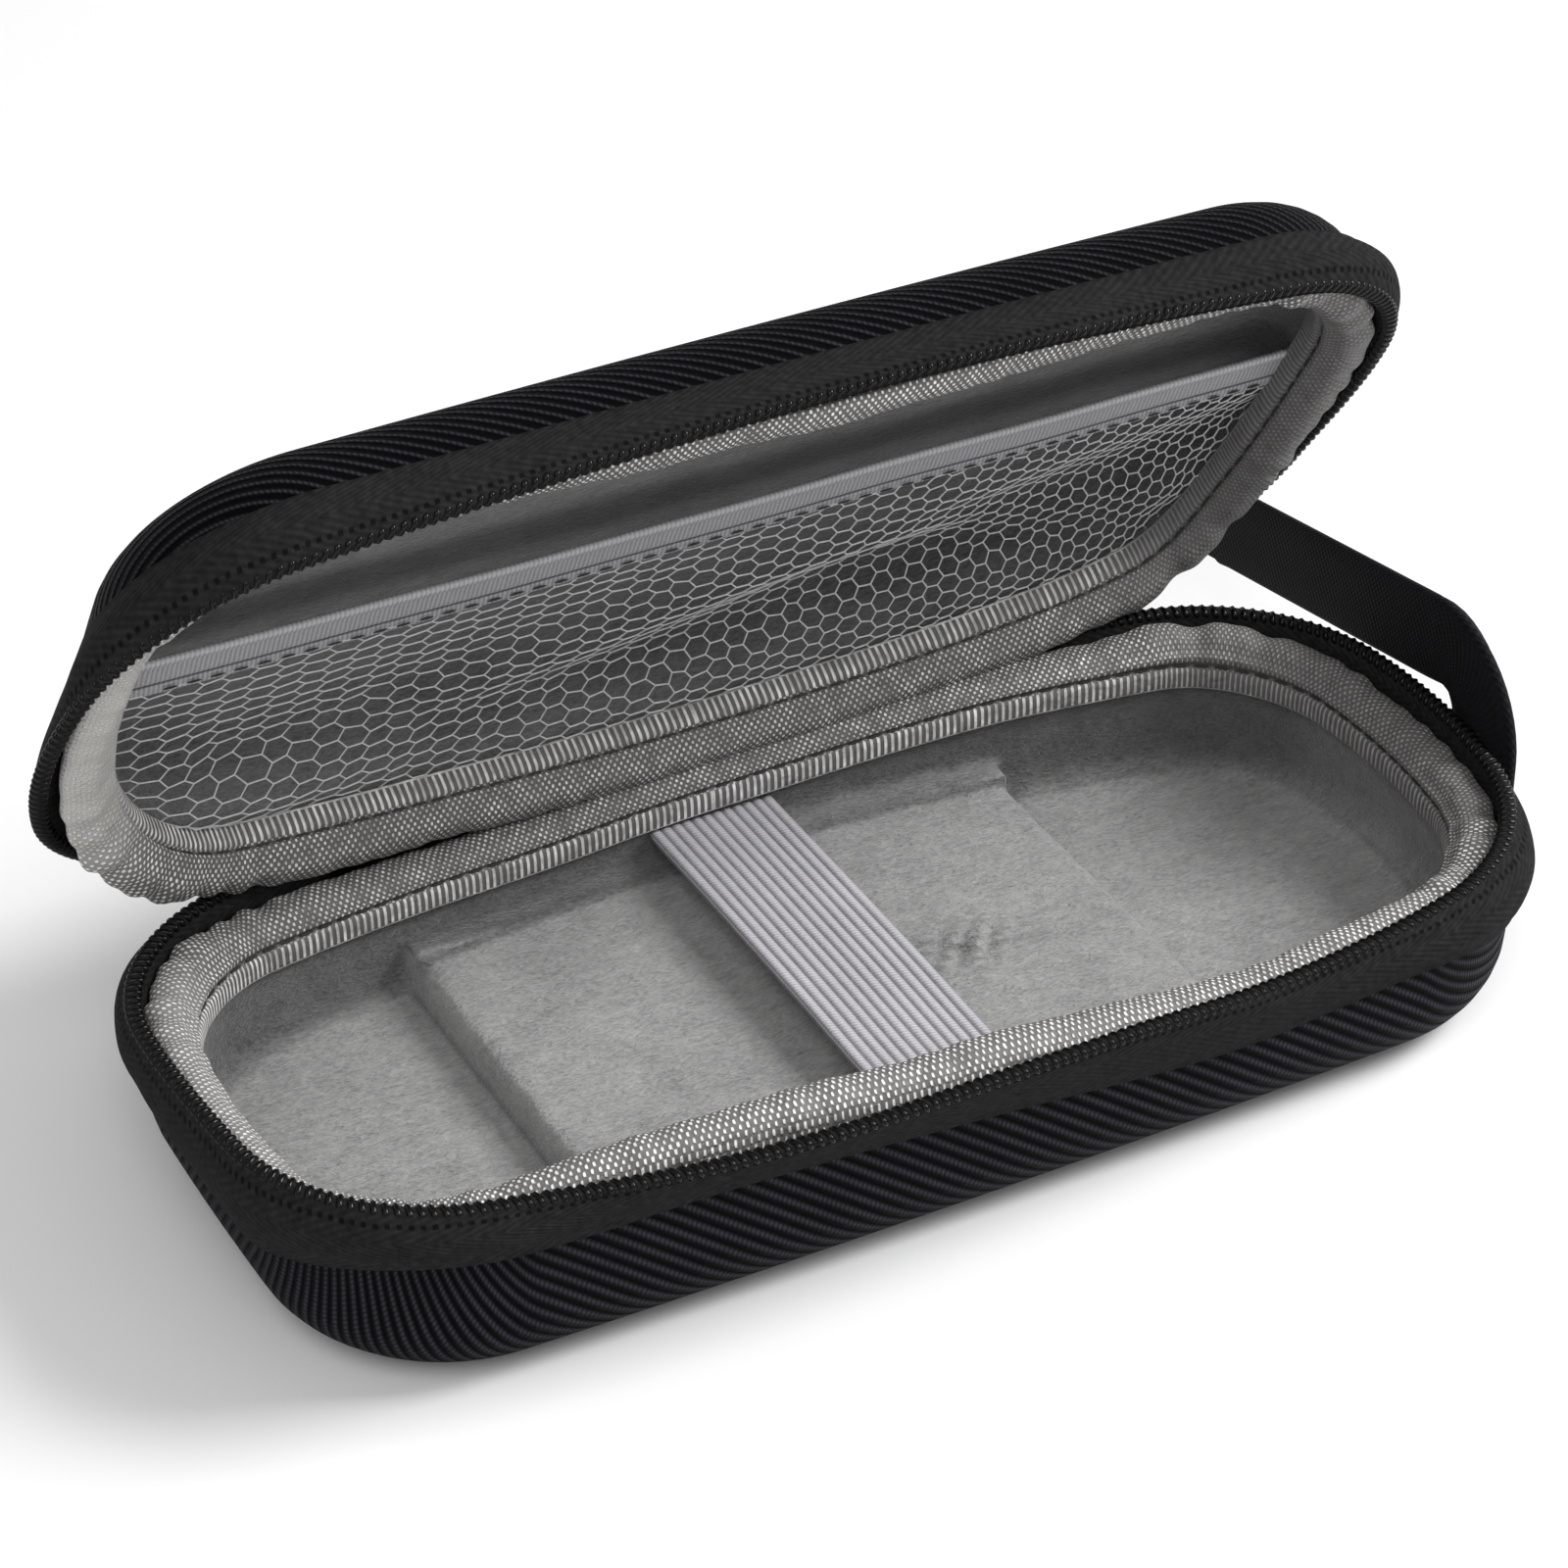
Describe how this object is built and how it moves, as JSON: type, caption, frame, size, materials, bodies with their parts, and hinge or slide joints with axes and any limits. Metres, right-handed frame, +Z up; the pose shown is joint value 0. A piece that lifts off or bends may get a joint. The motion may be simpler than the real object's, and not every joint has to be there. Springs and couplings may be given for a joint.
{
  "type": "portable game console case",
  "caption": "Open soft-shell zip case with a velvet tray, an elastic retaining strap, a net lid pocket and a webbing wrist loop, for carrying a handheld console.",
  "frame": {"origin": "middle of the base's flat underside", "axes": "+X along the case's length towards the wrist loop, +Y towards the cloth hinge, +Z up"},
  "size_m": [0.2185, 0.1544, 0.1101],
  "materials": {
    "shell_cloth": "ribbed twill over moulded foam",
    "velvet": "short-pile plush",
    "zip_tape": "herringbone woven tape",
    "zip_coil": "satin nylon",
    "binding": "plain woven tape",
    "elastic": "ribbed knitted elastic",
    "webbing": "tight woven webbing",
    "pocket_net": "hexagonal knitted net",
    "hinge_cloth": "woven cloth",
    "slider": "satin black",
    "pull_tab": "satin black"
  },
  "bodies": {
    "base": {"base_shell": "shell_cloth", "console_tray": "velvet", "base_zip_tape": "zip_tape", "base_zip_coil": "zip_coil", "base_binding": "binding", "retaining_strap": "elastic", "wrist_strap": "webbing", "hinge_panel": "hinge_cloth", "zip_slider_right": "slider", "zip_slider_left": "slider"},
    "lid": {"lid_shell": "shell_cloth", "lid_lining": "velvet", "lid_zip_tape": "zip_tape", "lid_zip_coil": "zip_coil", "lid_binding": "binding", "mesh_pocket": "pocket_net", "pocket_elastic": "elastic"},
    "pull_tab_right": {"pull_tab_right": "pull_tab"},
    "pull_tab_left": {"pull_tab_left": "pull_tab"}
  },
  "joints": [
    {"name": "lid_hinge", "type": "hinge", "parent": "base", "child": "lid", "pos_m": [0, 0.04565, 0.023], "axis": [-1, 0, 0], "range_deg": [-58.7, 41.3], "deforming": ["hinge_panel"]},
    {"name": "pull_tab_right_hinge", "type": "hinge", "parent": "base", "child": "pull_tab_right", "pos_m": [0.0553, 0.0481, 0.02225], "axis": [1, 0, 0], "range_deg": [0, 60]},
    {"name": "pull_tab_left_hinge", "type": "hinge", "parent": "base", "child": "pull_tab_left", "pos_m": [-0.0553, 0.0481, 0.02225], "axis": [1, 0, 0], "range_deg": [0, 60]}
  ]
}
